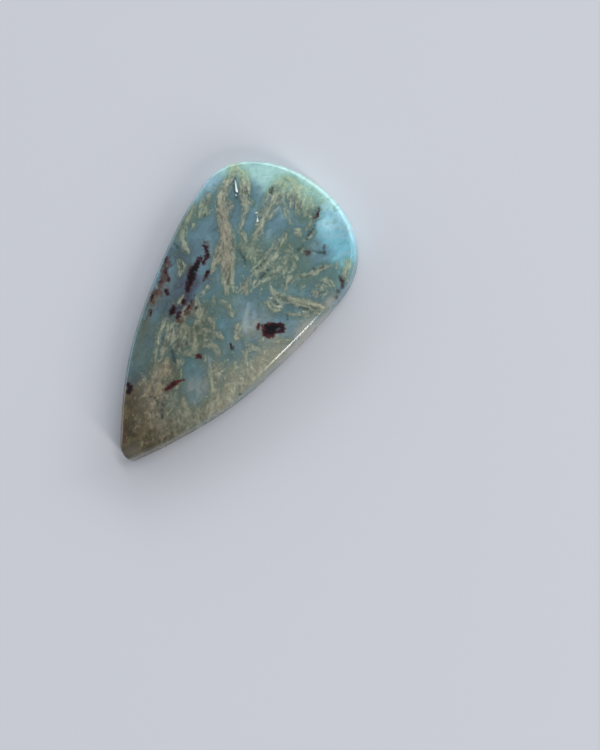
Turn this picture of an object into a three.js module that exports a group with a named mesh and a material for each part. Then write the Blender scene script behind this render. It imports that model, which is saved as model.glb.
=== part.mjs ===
// A larimar cabochon: one polished teardrop of blue pectolite, cut with a flat back and a low dome.
// Millimetres, +Z up. The origin is the middle of the outline's box, on the flat back. +Y runs from
// the tip to the round crown, and +X to the stone's right as its domed face is seen.
import * as THREE from "three";

// Driving dimensions
const LENGTH = 41.8;
const WIDTH = 22.7;
const BEVEL = 0.4; // the small chamfer round the back edge
const GIRDLE_TOP = 2.35; // height at which the side wall turns into the shoulder
const GIRDLE_LEAN = 0.12; // how far the wall leans in between the bevel and there
const SHOULDER_RADIUS = 0.55; // how far in the rounded shoulder reaches
const RIM_HEIGHT = 2.95; // height of the low dome where it runs out to the edge
const DOME_RISE = 1.4; // and how much higher its middle is

// The outline's knots, one for each place where the edge changes its run. heading is the direction
// of travel, counterclockwise seen from above, and before and after are the curve handles' lengths.
const TIP = { x: 2.0, y: -LENGTH / 2, heading: 0, before: 0.6, after: 0.45 };
const RIGHT_OF_TIP = { x: 3.0, y: -19.85, heading: 61, before: 0.75, after: 3.6 };
const RIGHT_WAIST = { x: 9.55, y: -3.2, heading: 79.8, before: 6.6, after: 4.8 };
const RIGHT_FLANK = { x: WIDTH / 2, y: 11.6, heading: 90, before: 3.8, after: 5.3 };
const CROWN = { x: 0.1, y: LENGTH / 2, heading: 180, before: 7.0, after: 5.6 };
const LEFT_FLANK = { x: -WIDTH / 2, y: 12.6, heading: 270, before: 5.3, after: 5.0 };
const LEFT_WAIST = { x: -8.65, y: -2.5, heading: 285.8, before: 5.6, after: 7.2 };
const LEFT_OF_TIP = { x: 0.0, y: -19.75, heading: 305.5, before: 8.2, after: 0.9 };
const KNOTS = [
  TIP,
  RIGHT_OF_TIP,
  RIGHT_WAIST,
  RIGHT_FLANK,
  CROWN,
  LEFT_FLANK,
  LEFT_WAIST,
  LEFT_OF_TIP,
];

// Insets near the edge aim at a spine inside the stone, so that they keep their width at the tip.
const SPINE_FOOT = new THREE.Vector2(1.7, -16.8);
const SPINE_HEAD = new THREE.Vector2(0, 9.2);

// The dome falls off evenly towards an egg that keeps close to the outline.
const EGG_HALF_WIDTH = 10.3; // halfway between the tip and the crown
const EGG_TAPER = 0.56; // share by which the egg is wider at the crown's end
const TIP_LEAN = 1.8; // how far its narrow end lies to the right

// Fineness
const EDGE_STEPS = 112;
const SHOULDER_STEPS = 7;
const DOME_STEPS = 8;

// A point at a distance from a knot, along its heading.
function along(knot, distance) {
  const angle = THREE.MathUtils.degToRad(knot.heading);
  return new THREE.Vector2(knot.x + distance * Math.cos(angle), knot.y + distance * Math.sin(angle));
}

// The outline as points about evenly spaced along it, with every knot among them.
function outlinePoints() {
  const curves = KNOTS.map((knot, i) => {
    const next = KNOTS[(i + 1) % KNOTS.length];
    return new THREE.CubicBezierCurve(
      along(knot, 0),
      along(knot, knot.after),
      along(next, -next.before),
      along(next, 0),
    );
  });
  const whole = curves.reduce((sum, curve) => sum + curve.getLength(), 0);
  return curves.flatMap((curve) => {
    const steps = Math.max(4, Math.round((EDGE_STEPS * curve.getLength()) / whole));
    return curve.getSpacedPoints(steps).slice(0, -1);
  });
}

// The point of the spine that is level with a point of the outline.
function spinePoint(point) {
  const run = SPINE_HEAD.clone().sub(SPINE_FOOT);
  const share = point.clone().sub(SPINE_FOOT).dot(run) / run.lengthSq();
  return SPINE_FOOT.clone().addScaledVector(run, THREE.MathUtils.clamp(share, 0, 1));
}

// The outline moved in by an inset.
function insetOutline(outline, inset) {
  return outline.map((point) => {
    const inwards = spinePoint(point).sub(point).normalize();
    return point.clone().addScaledVector(inwards, inset);
  });
}

// The height of the low dome over a point of the plan.
function domeHeight(point) {
  const run = point.y / (LENGTH / 2);
  const middle = TIP_LEAN * ((1 - run) / 2) ** 3;
  const halfWidth = EGG_HALF_WIDTH * (1 + EGG_TAPER * run);
  const share = run ** 2 + ((point.x - middle) / halfWidth) ** 2;
  return RIM_HEIGHT + DOME_RISE * (1 - share);
}

// A ring of the plan, each of its points raised to its own height.
function raised(ring, heightOf) {
  return ring.map((point) => new THREE.Vector3(point.x, point.y, heightOf(point)));
}

// The rings of the stone from the flat back up over the bevel, wall, shoulder and dome.
function stoneRings(outline) {
  const rings = [
    raised(insetOutline(outline, BEVEL), () => 0),
    raised(outline, () => BEVEL),
  ];
  for (let i = 0; i <= SHOULDER_STEPS; i += 1) {
    const turn = (i / SHOULDER_STEPS) * (Math.PI / 2);
    const ring = insetOutline(outline, GIRDLE_LEAN + SHOULDER_RADIUS * (1 - Math.cos(turn)));
    rings.push(
      raised(ring, (p) => THREE.MathUtils.lerp(GIRDLE_TOP, domeHeight(p), Math.sin(turn))),
    );
  }
  const domeFoot = insetOutline(outline, GIRDLE_LEAN + SHOULDER_RADIUS);
  for (let i = 1; i < DOME_STEPS; i += 1) {
    const ring = domeFoot.map((p) => p.clone().multiplyScalar(1 - i / DOME_STEPS));
    rings.push(raised(ring, domeHeight));
  }
  return rings;
}

// Joins the rings into one closed geometry, with a fan on the back and one on the dome's top.
function closedGeometry(rings) {
  const count = rings[0].length;
  const middle = new THREE.Vector2(0, 0);
  const points = rings.flat();
  const backCentre = points.push(new THREE.Vector3(middle.x, middle.y, 0)) - 1;
  const topCentre = points.push(new THREE.Vector3(middle.x, middle.y, domeHeight(middle))) - 1;
  const faces = [];
  const last = (rings.length - 1) * count;
  for (let i = 0; i < count; i += 1) {
    const next = (i + 1) % count;
    faces.push(backCentre, next, i);
    faces.push(topCentre, last + i, last + next);
    for (let low = 0; low < last; low += count) {
      const high = low + count;
      faces.push(low + i, low + next, high + next);
      faces.push(low + i, high + next, high + i);
    }
  }
  const geometry = new THREE.BufferGeometry().setFromPoints(points);
  geometry.setIndex(faces);
  geometry.computeVertexNormals();
  return geometry;
}

const polishedLarimar = new THREE.MeshStandardMaterial({
  color: new THREE.Color(0.39, 0.52, 0.53),
  roughness: 0.16,
  metalness: 0,
});

const stone = new THREE.Mesh(closedGeometry(stoneRings(outlinePoints())), polishedLarimar);
stone.name = "larimar";

const cabochon = new THREE.Group();
cabochon.add(stone);

export default cabochon;
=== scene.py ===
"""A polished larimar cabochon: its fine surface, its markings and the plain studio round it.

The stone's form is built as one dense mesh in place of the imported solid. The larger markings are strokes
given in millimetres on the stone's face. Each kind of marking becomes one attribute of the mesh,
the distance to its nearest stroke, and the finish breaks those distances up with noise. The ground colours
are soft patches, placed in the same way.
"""

import logging
import math
from dataclasses import dataclass, field
from enum import Enum
from typing import Mapping, Sequence, Union

import bpy
import numpy as np
from mathutils import Matrix, Vector
from mathutils.geometry import delaunay_2d_cdt

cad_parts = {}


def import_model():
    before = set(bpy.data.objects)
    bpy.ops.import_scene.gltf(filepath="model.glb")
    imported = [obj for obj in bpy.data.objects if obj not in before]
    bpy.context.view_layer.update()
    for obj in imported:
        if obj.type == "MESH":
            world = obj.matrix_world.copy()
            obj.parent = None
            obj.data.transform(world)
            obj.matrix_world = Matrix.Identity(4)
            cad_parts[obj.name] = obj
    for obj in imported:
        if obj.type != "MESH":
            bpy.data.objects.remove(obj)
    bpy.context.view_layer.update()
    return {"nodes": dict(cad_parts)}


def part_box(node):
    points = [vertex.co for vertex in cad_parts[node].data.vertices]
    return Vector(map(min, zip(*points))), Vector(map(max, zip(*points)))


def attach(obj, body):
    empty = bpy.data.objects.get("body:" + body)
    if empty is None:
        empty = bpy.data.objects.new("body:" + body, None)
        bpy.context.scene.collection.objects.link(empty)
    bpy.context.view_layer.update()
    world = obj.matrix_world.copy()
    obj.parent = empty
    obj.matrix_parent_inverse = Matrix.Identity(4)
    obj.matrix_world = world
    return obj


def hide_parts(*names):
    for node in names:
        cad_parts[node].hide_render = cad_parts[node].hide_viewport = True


LOG = logging.getLogger("larimar")
MM = 0.001
# At its named size a patch has faded to exp(-PATCH_FALLOFF) of its strength
PATCH_FALLOFF = 1.2
# The distance that is written where every stroke of a kind is further off, in millimetres
FAR_FROM_STROKES = 9.0
# How far apart two strokes look up their noise, so that no two look alike
GRAIN_STEP = 7.0
Colour = tuple[float, float, float, float]


def srgb(red: int, green: int, blue: int) -> Colour:
    """Turns a screen colour into a linear one.

    Args:
        red: red on screen, 0 to 255.
        green: green on screen, 0 to 255.
        blue: blue on screen, 0 to 255.

    Returns:
        The linear colour with full alpha.
    """
    linear = [
        share / 12.92 if share <= 0.04045 else ((share + 0.055) / 1.055) ** 2.4
        for share in (red / 255, green / 255, blue / 255)
    ]
    return (linear[0], linear[1], linear[2], 1.0)


class Marking(Enum):
    """The kinds of marking in the stone, and the highlights painted on it. Each value is the name of the mesh
    attribute that holds it.
    """

    PLUME = "plume"
    PALE = "pale"
    OCHRE = "ochre"
    RUST = "rust"
    HEMATITE = "hematite"
    RED = "red"
    SEAM = "seam"
    # The milky wisps, and one painted highlight: a gleam on the hematite oval
    WISP_AND_GLEAM = "wisp_and_gleam"
    # Painted highlights: glints of light on two small pits, painted as near-white colour
    GLINT = "glint"


class Ground(Enum):
    """The kinds of ground colour, and where the moss grows. Each value is the name of its mesh attribute."""

    SKY = "sky"
    # Paler ice blue, partly a painted reflection of the window near the crown's edge
    ICE_AND_REFLECTION = "ice_and_reflection"
    MINT = "mint"
    PALE_BLUE = "pale_blue"
    SLATE = "slate"
    VIOLET = "violet"
    TEAL = "teal"
    FERN = "fern"
    OLIVE = "olive"
    UMBER = "umber"
    TAN = "tan"
    # Milky haze, and painted sheen: a pale reflection painted down the right edge and flank
    HAZE_AND_SHEEN = "haze_and_sheen"
    MOSS = "moss"


@dataclass(frozen=True)
class Stroke:
    """One marking, drawn as a run of round dabs joined into one stroke.

    Each dab is its place to the right of the stone's middle, its place towards the crown and its radius, in
    millimetres. A radius less than 0 leaves a thin stroke that breaks up into specks.
    """

    kind: Marking
    dabs: tuple[tuple[float, float, float], ...]


def stroke(kind: Marking, *dabs: tuple[float, float, float]) -> Stroke:
    """Returns a stroke of that kind through these dabs."""
    return Stroke(kind, dabs)


@dataclass(frozen=True)
class Patch:
    """A soft oval of one ground colour, with its size and turn, in millimetres and degrees.

    A strength less than 0 takes the colour away.
    """

    kind: Ground
    x: float
    y: float
    across: float
    along: float
    turn: float = 0.0
    strength: float = 1.0


STROKES = (
    # The forked plume at the upper left and its long arm down across the face
    stroke(
        Marking.PLUME,
        (-9.5, 16.5, 0.4),
        (-9.15, 15.4, 0.42),
        (-8.95, 14.2, 0.5),
        (-8.7, 13.0, 0.55),
        (-8.2, 12.0, 0.6),
        (-7.4, 11.1, 0.6),
        (-6.4, 10.2, 0.6),
        (-5.4, 9.3, 0.7),
        (-4.4, 8.2, 0.8),
        (-3.5, 7.1, 0.85),
        (-2.7, 6.0, 0.75),
        (-1.9, 5.0, 0.7),
        (-1.3, 4.1, 0.55),
        (-0.7, 3.2, 0.25),
    ),
    stroke(
        Marking.PLUME,
        (-5.1, 8.0, 0.3),
        (-4.7, 7.1, 0.4),
        (-4.35, 6.1, 0.42),
        (-4.1, 5.1, 0.3),
        (-3.8, 4.3, 0.14),
    ),
    stroke(
        Marking.PLUME,
        (-9.0, 16.6, 0.35),
        (-8.0, 16.3, 0.45),
        (-7.1, 15.5, 0.6),
        (-6.5, 14.7, 0.55),
        (-5.8, 14.0, 0.35),
        (-5.0, 14.1, 0.15),
    ),
    stroke(
        Marking.PLUME,
        (-6.6, 13.8, 0.15),
        (-5.6, 13.5, 0.25),
        (-5.0, 12.9, 0.2),
        (-4.8, 12.0, 0.15),
        (-4.5, 11.2, 0.17),
        (-4.0, 10.4, 0.22),
    ),
    stroke(Marking.PLUME, (-7.4, 12.6, 0.3), (-6.9, 11.9, 0.35), (-6.6, 11.2, 0.2)),
    stroke(Marking.PLUME, (-9.9, 11.5, 0.35), (-9.6, 10.6, 0.4), (-9.2, 9.7, 0.3)),
    stroke(Marking.PALE, (-10.2, 10.2, 0.15), (-9.7, 9.6, 0.2), (-9.2, 8.9, 0.16)),
    stroke(Marking.PALE, (-10.6, 9.4, 0.2), (-10.3, 8.3, 0.22), (-10.1, 7.4, 0.25)),
    # The plume below the crown
    stroke(
        Marking.PLUME,
        (-3.8, 18.5, 0.25),
        (-4.0, 17.6, 0.25),
        (-4.0, 16.8, 0.22),
        (-3.9, 15.9, 0.2),
        (-3.65, 15.0, 0.2),
        (-3.45, 14.1, 0.18),
        (-3.25, 13.3, 0.12),
    ),
    stroke(
        Marking.PLUME,
        (-3.4, 18.6, 0.35),
        (-3.3, 17.2, 0.32),
        (-3.1, 16.0, 0.27),
        (-2.95, 14.8, 0.34),
        (-2.7, 13.4, 0.4),
        (-2.35, 12.2, 0.48),
        (-2.1, 11.3, 0.45),
        (-2.1, 10.7, 0.3),
    ),
    stroke(
        Marking.PLUME,
        (-2.9, 18.6, 0.3),
        (-2.6, 17.4, 0.25),
        (-2.4, 16.2, 0.22),
        (-2.25, 15.0, 0.22),
        (-2.15, 14.0, 0.18),
    ),
    stroke(
        Marking.PALE,
        (-2.4, 17.4, 0.14),
        (-1.8, 16.6, 0.16),
        (-1.1, 15.9, 0.15),
        (-0.4, 15.4, 0.12),
        (0.4, 15.0, 0.1),
    ),
    stroke(
        Marking.PLUME,
        (-3.4, 19.1, 0.35),
        (-2.5, 19.4, 0.4),
        (-1.5, 19.1, 0.45),
        (-0.9, 18.4, 0.4),
        (-0.6, 17.6, 0.3),
        (-0.2, 16.9, 0.22),
    ),
    stroke(Marking.PLUME, (-1.9, 18.4, 0.35), (-1.5, 17.6, 0.3), (-1.0, 16.9, 0.22)),
    stroke(Marking.PLUME, (0.0, 18.2, 0.15), (0.3, 17.3, 0.25), (0.1, 16.4, 0.15)),
    stroke(Marking.PLUME, (-3.6, 10.3, 0.3), (-2.9, 9.8, 0.3), (-2.7, 8.8, 0.25)),
    stroke(Marking.PLUME, (-1.8, 9.9, 0.3), (-1.2, 9.3, 0.35), (-0.5, 9.7, 0.25)),
    # The upright strands in the middle
    stroke(
        Marking.PLUME,
        (0.7, 13.9, 0.12),
        (0.85, 12.9, 0.28),
        (1.0, 11.7, 0.36),
        (1.0, 10.4, 0.32),
        (0.9, 9.3, 0.35),
        (0.85, 8.2, 0.32),
        (0.8, 7.2, 0.25),
    ),
    stroke(Marking.PLUME, (0.1, 11.8, 0.1), (0.3, 10.8, 0.12), (0.1, 9.6, 0.2), (0.1, 8.6, 0.2)),
    stroke(Marking.PLUME, (1.8, 12.6, 0.2), (2.3, 12.2, 0.22), (2.1, 11.7, 0.14)),
    stroke(Marking.PLUME, (2.6, 11.4, 0.12), (2.8, 10.6, 0.2), (2.9, 9.8, 0.2), (2.7, 9.0, 0.15)),
    stroke(Marking.PLUME, (2.6, 8.9, 0.12), (2.1, 8.0, 0.16), (1.8, 7.0, 0.16), (1.7, 6.1, 0.12)),
    stroke(Marking.PLUME, (3.6, 11.2, 0.14), (4.0, 10.9, 0.2)),
    stroke(Marking.PLUME, (1.5, 14.7, 0.14), (1.9, 14.9, 0.14), (2.1, 14.5, 0.12), (1.7, 14.3, 0.1)),
    stroke(Marking.OCHRE, (0.4, 5.8, 0.2), (0.7, 5.0, 0.36), (1.1, 4.6, 0.2)),
    stroke(Marking.PALE, (1.5, 5.3, 0.12)),
    stroke(Marking.PALE, (3.5, 4.6, 0.16)),
    # The plumes that run in from the right edge
    stroke(
        Marking.PLUME,
        (7.4, 13.6, 0.15),
        (6.9, 13.0, 0.3),
        (6.6, 12.3, 0.28),
        (6.3, 11.4, 0.28),
        (5.7, 10.6, 0.2),
        (5.0, 10.1, 0.16),
    ),
    stroke(Marking.PLUME, (4.5, 9.4, 0.3), (4.4, 8.7, 0.36), (4.8, 8.1, 0.22)),
    stroke(Marking.PLUME, (9.0, 15.3, 0.3), (9.4, 14.8, 0.4), (9.5, 14.0, 0.4), (9.9, 13.4, 0.3)),
    stroke(Marking.PALE, (8.0, 14.3, 0.12), (8.1, 13.9, 0.14)),
    stroke(Marking.PLUME, (8.0, 11.8, 0.14), (8.6, 12.1, 0.2), (9.2, 11.9, 0.14)),
    stroke(Marking.PLUME, (8.0, 11.1, 0.14), (8.7, 11.3, 0.18), (9.2, 10.9, 0.12)),
    stroke(Marking.PLUME, (8.6, 10.6, 0.28), (8.2, 10.0, 0.3), (8.2, 9.5, 0.2)),
    stroke(
        Marking.PLUME,
        (3.6, 6.75, 0.14),
        (4.4, 6.7, 0.34),
        (5.4, 6.98, 0.42),
        (6.6, 7.45, 0.5),
        (7.8, 7.95, 0.52),
        (8.9, 8.4, 0.52),
        (9.8, 8.75, 0.42),
    ),
    stroke(Marking.PALE, (8.2, 8.35, 0.02), (9.6, 8.85, 0.06)),
    stroke(Marking.PLUME, (4.5, 5.6, 0.25), (5.0, 5.5, 0.25), (5.5, 5.7, 0.2)),
    stroke(Marking.PLUME, (9.8, 8.2, 0.18), (9.0, 7.6, 0.2), (8.3, 7.1, 0.14)),
    stroke(Marking.PLUME, (9.1, 7.0, 0.15), (8.2, 6.5, 0.26), (7.4, 6.0, 0.25), (6.9, 5.7, 0.12)),
    stroke(Marking.PLUME, (4.1, 6.1, 0.14), (4.8, 6.35, 0.2), (5.5, 6.3, 0.14)),
    stroke(Marking.PALE, (4.1, 5.3, 0.2), (4.6, 4.95, 0.25), (5.3, 4.95, 0.22), (5.8, 5.3, 0.18)),
    stroke(Marking.PLUME, (9.1, 3.1, 0.14), (8.4, 2.5, 0.2), (7.8, 1.9, 0.14)),
    # Soft olive patches on the left edge and in the middle
    stroke(
        Marking.PLUME,
        (-10.4, 6.9, 0.25),
        (-9.8, 6.1, 0.35),
        (-9.2, 5.3, 0.4),
        (-8.5, 4.8, 0.35),
        (-8.0, 4.4, 0.25),
    ),
    stroke(Marking.PLUME, (-7.8, 2.8, 0.25), (-7.2, 2.4, 0.5), (-7.0, 1.8, 0.35)),
    stroke(Marking.PALE, (-3.1, 2.4, 0.08), (-3.1, 1.5, 0.1)),
    stroke(Marking.PLUME, (-1.6, 1.7, 0.2), (-1.3, 1.3, 0.15)),
    stroke(Marking.PLUME, (-0.6, 1.9, 0.2), (0.0, 2.2, 0.25), (0.6, 1.9, 0.2), (1.2, 1.4, 0.25)),
    stroke(Marking.PLUME, (2.9, 0.8, 0.25), (3.1, 0.0, 0.36), (3.5, -0.4, 0.35), (3.9, -0.3, 0.2)),
    stroke(Marking.PLUME, (5.3, -0.8, 0.2), (5.9, -0.2, 0.26), (6.4, 0.0, 0.2)),
    stroke(
        Marking.PLUME,
        (5.5, -1.1, 0.25),
        (5.9, -1.9, 0.25),
        (6.3, -2.8, 0.22),
        (6.8, -3.4, 0.18),
    ),
    stroke(Marking.PALE, (5.9, -1.2, 0.1), (6.3, -1.9, 0.12), (6.9, -2.8, 0.1), (7.4, -3.3, 0.08)),
    stroke(Marking.PLUME, (7.9, -3.0, 0.16), (8.2, -3.5, 0.25)),
    stroke(Marking.PLUME, (-2.6, 0.2, 0.3), (-1.9, -0.3, 0.36), (-1.5, -1.2, 0.35)),
    stroke(Marking.PLUME, (-0.5, -0.8, 0.3), (0.1, -0.7, 0.3), (0.5, -1.2, 0.2)),
    stroke(Marking.PLUME, (0.3, -1.9, 0.25), (1.2, -1.8, 0.3), (2.0, -1.8, 0.3)),
    stroke(Marking.PLUME, (1.6, -3.2, 0.3), (2.4, -3.0, 0.36), (2.9, -3.5, 0.2)),
    stroke(Marking.PALE, (5.3, -3.1, 0.12)),
    stroke(Marking.PALE, (5.8, -4.1, 0.12)),
    # Curls and strands in the lower half
    stroke(
        Marking.PALE,
        (2.9, -5.2, 0.1),
        (3.6, -6.0, 0.14),
        (4.3, -6.8, 0.16),
        (5.1, -7.6, 0.16),
        (5.6, -8.6, 0.14),
        (6.0, -9.4, 0.1),
    ),
    stroke(Marking.PLUME, (3.7, -4.6, 0.2), (3.5, -5.3, 0.2)),
    stroke(Marking.OCHRE, (6.1, -6.4, 0.2), (6.5, -6.0, 0.18), (6.5, -6.6, 0.12)),
    stroke(Marking.PALE, (6.9, -6.1, 0.08), (7.2, -6.6, 0.1)),
    stroke(Marking.OCHRE, (7.2, -8.6, 0.25), (7.5, -8.8, 0.22)),
    stroke(
        Marking.PLUME,
        (2.4, -10.3, 0.2),
        (3.0, -10.9, 0.3),
        (3.9, -11.6, 0.36),
        (4.9, -12.2, 0.34),
        (5.6, -12.6, 0.2),
    ),
    stroke(Marking.PLUME, (3.0, -13.0, 0.14), (3.6, -13.4, 0.2), (4.3, -14.1, 0.2), (4.7, -14.8, 0.14)),
    stroke(Marking.PLUME, (-4.9, -4.2, 0.2), (-4.75, -5.2, 0.3), (-4.4, -6.2, 0.25), (-3.9, -7.0, 0.12)),
    stroke(Marking.PLUME, (-3.6, -7.6, 0.14), (-3.1, -8.4, 0.25), (-2.6, -9.3, 0.22)),
    stroke(Marking.PLUME, (-4.0, -4.6, 0.28), (-3.4, -5.6, 0.36), (-3.0, -6.6, 0.38), (-2.6, -7.6, 0.3)),
    stroke(Marking.PLUME, (-2.3, -4.2, 0.3), (-1.9, -5.3, 0.35), (-1.3, -6.0, 0.25)),
    stroke(Marking.PLUME, (-0.9, -3.4, 0.4), (0.0, -4.3, 0.4), (0.4, -5.4, 0.35), (-0.4, -6.0, 0.25)),
    stroke(Marking.OCHRE, (-1.6, -7.9, 0.25), (-1.3, -8.8, 0.36), (-1.0, -9.6, 0.28)),
    stroke(Marking.PLUME, (-0.4, -7.4, 0.2), (0.2, -8.0, 0.28), (0.6, -8.6, 0.18)),
    stroke(Marking.OCHRE, (-1.8, -11.6, 0.22), (-1.3, -12.4, 0.3), (-1.2, -13.1, 0.2)),
    stroke(Marking.OCHRE, (-0.5, -11.2, 0.3), (-0.2, -12.3, 0.35), (0.3, -12.8, 0.3)),
    # Dark seams
    stroke(
        Marking.SEAM,
        (2.95, 16.6, 0.1),
        (3.15, 15.9, 0.16),
        (3.05, 15.2, 0.14),
        (3.15, 14.6, 0.1),
    ),
    stroke(Marking.SEAM, (4.7, 13.8, 0.08), (5.3, 14.1, 0.1), (5.7, 14.3, 0.14), (6.0, 14.5, 0.2)),
    stroke(Marking.SEAM, (3.3, 13.6, 0.1), (3.2, 12.9, 0.12)),
    stroke(Marking.SEAM, (0.45, 9.2, 0.06), (0.5, 8.2, 0.08), (0.4, 7.3, 0.06)),
    stroke(Marking.SEAM, (1.6, 8.6, 0.06), (1.5, 7.2, 0.08)),
    stroke(Marking.SEAM, (-3.0, 8.7, 0.12), (-2.2, 8.2, 0.14), (-1.5, 7.9, 0.12), (-1.1, 7.5, 0.1)),
    stroke(Marking.SEAM, (6.8, 5.7, 0.04), (7.3, 5.1, 0.05)),
    stroke(Marking.SEAM, (8.6, 7.6, 0.08), (7.6, 7.2, 0.06)),
    stroke(Marking.SEAM, (-8.6, 15.5, 0.06), (-8.1, 14.7, 0.2), (-7.5, 14.1, 0.2), (-7.0, 13.6, 0.14)),
    stroke(Marking.SEAM, (-9.0, 9.9, 0.08), (-8.8, 9.4, 0.12)),
    stroke(Marking.SEAM, (-4.0, 17.3, 0.12), (-3.9, 16.8, 0.26)),
    stroke(Marking.SEAM, (-3.7, -5.9, 0.08), (-3.2, -6.8, 0.1)),
    stroke(Marking.SEAM, (-2.2, -6.4, 0.1), (-1.5, -7.0, 0.2), (-0.8, -7.5, 0.2)),
    stroke(Marking.SEAM, (1.3, -12.8, 0.1), (1.6, -13.6, 0.14), (2.2, -14.0, 0.1)),
    stroke(Marking.SEAM, (4.4, 6.05, 0.03), (4.9, 5.85, 0.05), (5.4, 5.9, 0.03)),
    stroke(Marking.SEAM, (-9.6, 4.3, 0.12), (-9.0, 4.1, 0.1)),
    stroke(Marking.SEAM, (-0.8, -12.9, 0.04), (0.0, -12.7, 0.06), (0.6, -12.9, 0.04)),
    # The large oval of hematite and the spot beside it
    stroke(Marking.RED, (5.85, 2.45, 0.52), (6.4, 2.85, 0.8), (7.0, 3.55, 0.72)),
    stroke(Marking.RED, (5.95, 3.25, 0.42), (6.85, 2.4, 0.44)),
    stroke(Marking.RED, (6.05, 2.0, 0.34), (6.7, 2.1, 0.34)),
    stroke(Marking.RED, (7.0, 4.1, 0.36), (7.6, 3.7, 0.34)),
    stroke(Marking.HEMATITE, (5.95, 2.85, 0.4), (6.45, 3.1, 0.62), (6.95, 3.6, 0.46)),
    stroke(Marking.HEMATITE, (6.15, 2.3, 0.32), (6.6, 2.6, 0.36)),
    stroke(Marking.HEMATITE, (6.95, 4.05, 0.26), (7.45, 3.75, 0.2)),
    stroke(Marking.RED, (4.85, 2.35, 0.24), (5.1, 1.95, 0.14)),
    stroke(Marking.RED, (5.2, 2.6, 0.12), (5.5, 2.4, 0.16)),
    # The long black vein on the left, its cap and the thinner one beside it
    stroke(
        Marking.HEMATITE,
        (-6.05, 4.75, 0.14),
        (-5.95, 4.2, 0.24),
        (-5.8, 3.5, 0.36),
        (-5.75, 2.8, 0.48),
        (-5.5, 2.1, 0.42),
        (-5.2, 1.4, 0.34),
        (-4.95, 0.8, 0.28),
        (-4.85, 0.3, 0.14),
    ),
    stroke(Marking.HEMATITE, (-6.6, 6.35, 0.1), (-6.1, 6.1, 0.1), (-5.7, 5.85, 0.16), (-5.5, 5.5, 0.26)),
    stroke(Marking.HEMATITE, (-5.45, 5.1, 0.08), (-5.35, 4.4, 0.05)),
    stroke(Marking.HEMATITE, (-4.2, 3.85, 0.2), (-4.05, 3.3, 0.08), (-3.95, 2.7, 0.05)),
    stroke(Marking.HEMATITE, (-4.6, -0.7, 0.13), (-4.35, -1.0, 0.14)),
    stroke(Marking.HEMATITE, (-4.95, -2.2, 0.2), (-4.85, -2.7, 0.3), (-4.8, -3.1, 0.2)),
    stroke(Marking.HEMATITE, (-3.95, -2.3, 0.12), (-3.85, -2.9, 0.2)),
    stroke(
        Marking.HEMATITE,
        (-3.85, 0.6, -0.1),
        (-3.65, -0.4, -0.05),
        (-3.5, -0.9, 0.03),
        (-3.55, -1.6, -0.05),
    ),
    stroke(Marking.HEMATITE, (-2.65, -0.55, 0.08)),
    # Spots on the left edge
    stroke(Marking.HEMATITE, (-7.6, 0.25, 0.14)),
    stroke(Marking.HEMATITE, (-7.0, -1.1, 0.16), (-6.7, -1.35, 0.12)),
    stroke(Marking.HEMATITE, (-9.5, 2.3, 0.06), (-9.35, 1.7, 0.05)),
    stroke(Marking.HEMATITE, (-8.7, 0.9, 0.06), (-8.4, 0.7, 0.08)),
    stroke(Marking.HEMATITE, (-8.3, -0.5, 0.1)),
    stroke(Marking.HEMATITE, (-8.0, -2.7, 0.1), (-7.8, -3.3, 0.06)),
    stroke(Marking.HEMATITE, (-6.95, -4.3, 0.1), (-6.85, -4.7, 0.06)),
    # Spots elsewhere, with their rust and seams
    stroke(Marking.HEMATITE, (2.3, 18.4, -0.04), (2.4, 17.9, 0.02), (2.5, 17.5, -0.06)),
    stroke(Marking.RUST, (2.25, 18.4, 0.2), (2.4, 17.9, 0.26), (2.5, 17.3, 0.22)),
    stroke(Marking.HEMATITE, (4.3, 13.3, 0.08), (4.45, 13.3, 0.08)),
    stroke(Marking.RUST, (4.2, 13.3, 0.3), (4.55, 13.3, 0.26)),
    stroke(Marking.SEAM, (5.5, 14.95, 0.08), (5.8, 14.7, 0.22), (6.0, 14.5, 0.26)),
    stroke(Marking.HEMATITE, (6.0, 14.52, -0.1)),
    stroke(Marking.HEMATITE, (9.2, 13.2, -0.08), (9.5, 13.15, 0.0), (9.85, 13.05, -0.06)),
    stroke(Marking.HEMATITE, (10.2, 12.55, 0.0), (10.35, 12.4, 0.0)),
    stroke(Marking.SEAM, (9.2, 13.2, 0.12), (9.9, 13.0, 0.16), (10.3, 12.5, 0.2)),
    stroke(Marking.SEAM, (10.2, 11.5, 0.1), (10.5, 10.9, 0.12)),
    stroke(Marking.SEAM, (6.15, 12.05, 0.1)),
    stroke(Marking.RED, (1.15, -5.15, 0.32), (1.4, -5.2, 0.26)),
    stroke(Marking.RED, (1.15, -5.45, 0.14)),
    stroke(Marking.HEMATITE, (1.15, -5.2, 0.0)),
    stroke(Marking.HEMATITE, (-1.05, -4.85, 0.06)),
    stroke(Marking.HEMATITE, (3.5, -1.65, -0.02), (3.75, -1.75, 0.03), (4.0, -1.95, 0.0)),
    stroke(Marking.SEAM, (3.4, -1.6, 0.04), (3.75, -1.75, 0.1), (4.0, -1.95, 0.04)),
    stroke(
        Marking.RED,
        (1.5, -8.7, 0.12),
        (1.2, -9.0, 0.17),
        (0.85, -9.5, 0.3),
        (0.6, -10.2, 0.34),
        (0.4, -11.0, 0.27),
    ),
    stroke(Marking.HEMATITE, (0.8, -9.6, -0.04), (0.45, -10.5, 0.04)),
    stroke(Marking.HEMATITE, (-3.7, -13.4, 0.2), (-3.3, -13.6, 0.32), (-3.15, -14.0, 0.34)),
    stroke(Marking.RED, (-3.3, -13.2, 0.14), (-2.9, -13.6, 0.14)),
    stroke(Marking.SEAM, (8.2, -5.9, 0.11)),
    stroke(Marking.SEAM, (8.0, -7.9, 0.08)),
    # Rust, most of it round the hematite
    stroke(Marking.RUST, (-6.8, 6.7, 0.15), (-6.3, 6.8, 0.22), (-6.0, 6.3, 0.18)),
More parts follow.
